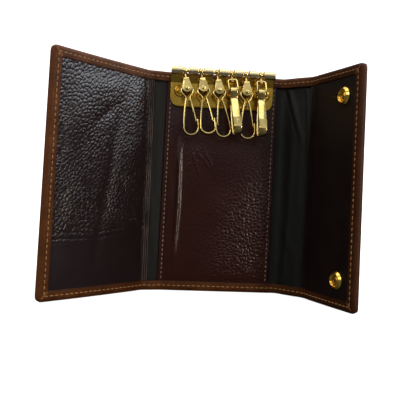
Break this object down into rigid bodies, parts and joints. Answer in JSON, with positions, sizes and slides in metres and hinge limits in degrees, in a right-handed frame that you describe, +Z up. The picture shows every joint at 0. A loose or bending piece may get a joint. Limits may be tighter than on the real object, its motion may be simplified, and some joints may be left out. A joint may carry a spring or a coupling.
{
  "type": "trifold leather key case",
  "caption": "Open trifold leather key case: stitched flaps on soft folding spines, a brass key row whose spring hooks swing, turn and open by sprung gates, and snaps that hold it shut.",
  "frame": {"origin": "centre of the flat back face of the middle panel, half way up", "axes": "+Z up, +Y out of the case's back, so the hooks face -Y, and +X to the right as seen from the hooks' side"},
  "size_m": [0.138, 0.0507, 0.1109],
  "materials": {
    "cover_leather": "dark brown leather, smooth with a low sheen, worn lighter along the turned edges",
    "pebbled_leather": "near-black brown pebbled leather, glossy on the grain",
    "panel_leather": "dark red-brown leather, fine grain, glossy and creased",
    "smooth_leather": "black-brown smooth leather, satin",
    "lining": "black soft lining leather, matt with wrinkles",
    "plate_brass": "polished brass plating",
    "hook_brass": "bright pale brass plating, lightly scratched",
    "snap_brass": "polished gold-coloured brass"
  },
  "bodies": {
    "centre": {"centre_cover": "cover_leather", "centre_lining": "lining", "centre_panel": "panel_leather", "key_plate": "plate_brass", "rod": "plate_brass", "plate_rivet_left": "plate_brass", "plate_rivet_right": "plate_brass"},
    "left_spine": {"left_spine_cover": "cover_leather", "left_spine_lining": "lining"},
    "left_flap": {"left_flap_cover": "cover_leather", "left_flap_lining": "lining", "left_pocket": "pebbled_leather", "snap_stud_upper": "snap_brass", "snap_stud_lower": "snap_brass", "snap_eyelet_upper": "snap_brass", "snap_eyelet_lower": "snap_brass"},
    "right_spine": {"right_spine_cover": "cover_leather", "right_spine_lining": "lining"},
    "right_flap": {"right_flap_cover": "cover_leather", "right_flap_lining": "lining", "right_pocket": "smooth_leather", "snap_cap_upper": "snap_brass", "snap_cap_lower": "snap_brass", "snap_socket_upper": "snap_brass", "snap_socket_lower": "snap_brass"},
    "hanger_1": {"hanger_1": "hook_brass"},
    "hook_1": {"yoke_1": "hook_brass", "cross_pin_1": "hook_brass", "spring_hook_1": "hook_brass"},
    "gate_1": {"gate_1": "hook_brass"},
    "hanger_2": {"hanger_2": "hook_brass"},
    "hook_2": {"yoke_2": "hook_brass", "cross_pin_2": "hook_brass", "spring_hook_2": "hook_brass"},
    "gate_2": {"gate_2": "hook_brass"},
    "hanger_3": {"hanger_3": "hook_brass"},
    "hook_3": {"yoke_3": "hook_brass", "cross_pin_3": "hook_brass", "spring_hook_3": "hook_brass"},
    "gate_3": {"gate_3": "hook_brass"},
    "hanger_4": {"hanger_4": "hook_brass"},
    "hook_4": {"yoke_4": "hook_brass", "cross_pin_4": "hook_brass", "spring_hook_4": "hook_brass"},
    "gate_4": {"gate_4": "hook_brass"},
    "hanger_5": {"hanger_5": "hook_brass"},
    "hook_5": {"yoke_5": "hook_brass", "cross_pin_5": "hook_brass", "spring_hook_5": "hook_brass"},
    "gate_5": {"gate_5": "hook_brass"},
    "hanger_6": {"hanger_6": "hook_brass"},
    "hook_6": {"yoke_6": "hook_brass", "cross_pin_6": "hook_brass", "spring_hook_6": "hook_brass"},
    "gate_6": {"gate_6": "hook_brass"}
  },
  "joints": [
    {"name": "left_inner_fold", "type": "hinge", "parent": "centre", "child": "left_spine", "pos_m": [-0.027, -0.0032, 0], "axis": [0, 0, 1], "range_deg": [-12, 78]},
    {"name": "left_outer_fold", "type": "hinge", "parent": "left_spine", "child": "left_flap", "pos_m": [-0.0358, -0.00507, 0], "axis": [0, 0, 1], "range_deg": [-32, 58]},
    {"name": "right_inner_fold", "type": "hinge", "parent": "centre", "child": "right_spine", "pos_m": [0.0315, -0.0032, 0], "axis": [0, 0, -1], "range_deg": [-43, 47]},
    {"name": "right_outer_fold", "type": "hinge", "parent": "right_spine", "child": "right_flap", "pos_m": [0.04284, -0.01377, 0], "axis": [0, 0, -1], "range_deg": [-28, 62]},
    {"name": "hook_1_swing", "type": "hinge", "parent": "centre", "child": "hanger_1", "pos_m": [-0.019, -0.0079, 0.0543], "axis": [-1, 0, 0], "range_deg": [-1.5, 175]},
    {"name": "hook_1_swivel", "type": "hinge", "parent": "hanger_1", "child": "hook_1", "pos_m": [-0.019, -0.0079, 0.0543], "axis": [-0.1392, 0.0863, 0.9865], "continuous": true},
    {"name": "hook_1_gate", "type": "hinge", "parent": "hook_1", "child": "gate_1", "pos_m": [-0.01599, -0.00914, 0.04013], "axis": [0, 0.9962, -0.0872], "range_deg": [0, 20]},
    {"name": "hook_2_swing", "type": "hinge", "parent": "centre", "child": "hanger_2", "pos_m": [-0.0111, -0.0079, 0.0543], "axis": [-1, 0, 0], "range_deg": [-8.5, 168]},
    {"name": "hook_2_swivel", "type": "hinge", "parent": "hanger_2", "child": "hook_2", "pos_m": [-0.0111, -0.0079, 0.0543], "axis": [-0.1392, 0.2059, 0.9686], "continuous": true},
    {"name": "hook_2_gate", "type": "hinge", "parent": "hook_2", "child": "gate_2", "pos_m": [-0.00809, -0.01086, 0.04039], "axis": [0, 0.9781, -0.2079], "range_deg": [0, 20]},
    {"name": "hook_3_swing", "type": "hinge", "parent": "centre", "child": "hanger_3", "pos_m": [-0.0032, -0.0079, 0.0543], "axis": [-1, 0, 0], "range_deg": [-0.5, 176]},
    {"name": "hook_3_swivel", "type": "hinge", "parent": "hanger_3", "child": "hook_3", "pos_m": [-0.0032, -0.0079, 0.0543], "axis": [-0.1392, 0.0691, 0.9879], "continuous": true},
    {"name": "hook_3_gate", "type": "hinge", "parent": "hook_3", "child": "gate_3", "pos_m": [-0.00217, -0.00891, 0.03984], "axis": [0, -0.9976, 0.0698], "range_deg": [0, 20]},
    {"name": "hook_4_swing", "type": "hinge", "parent": "centre", "child": "hanger_4", "pos_m": [0.0038, -0.0079, 0.0543], "axis": [-1, 0, 0], "range_deg": [-14, 162.5]},
    {"name": "hook_4_swivel", "type": "hinge", "parent": "hanger_4", "child": "hook_4", "pos_m": [0.0038, -0.0079, 0.0543], "axis": [-0.0958, 0.2993, 0.9493], "continuous": true},
    {"name": "hook_4_gate", "type": "hinge", "parent": "hook_4", "child": "gate_4", "pos_m": [0.00519, -0.01319, 0.04084], "axis": [0.9954, 0.0288, 0.0914], "range_deg": [0, 20]},
    {"name": "hook_5_swing", "type": "hinge", "parent": "centre", "child": "hanger_5", "pos_m": [0.0111, -0.0079, 0.0543], "axis": [-1, 0, 0], "range_deg": [-0.5, 176]},
    {"name": "hook_5_swivel", "type": "hinge", "parent": "hanger_5", "child": "hook_5", "pos_m": [0.0111, -0.0079, 0.0543], "axis": [-0.0523, 0.0697, 0.9962], "continuous": true},
    {"name": "hook_5_gate", "type": "hinge", "parent": "hook_5", "child": "gate_5", "pos_m": [0.01286, -0.00891, 0.03991], "axis": [0, 0.9976, -0.0698], "range_deg": [0, 20]},
    {"name": "hook_6_swing", "type": "hinge", "parent": "centre", "child": "hanger_6", "pos_m": [0.0185, -0.0079, 0.0543], "axis": [-1, 0, 0], "range_deg": [-13, 163.5]},
    {"name": "hook_6_swivel", "type": "hinge", "parent": "hanger_6", "child": "hook_6", "pos_m": [0.0185, -0.0079, 0.0543], "axis": [-0.0087, 0.284, 0.9588], "continuous": true},
    {"name": "hook_6_gate", "type": "hinge", "parent": "hook_6", "child": "gate_6", "pos_m": [0.01863, -0.01298, 0.04068], "axis": [1, 0.0025, 0.0084], "range_deg": [0, 20]}
  ]
}
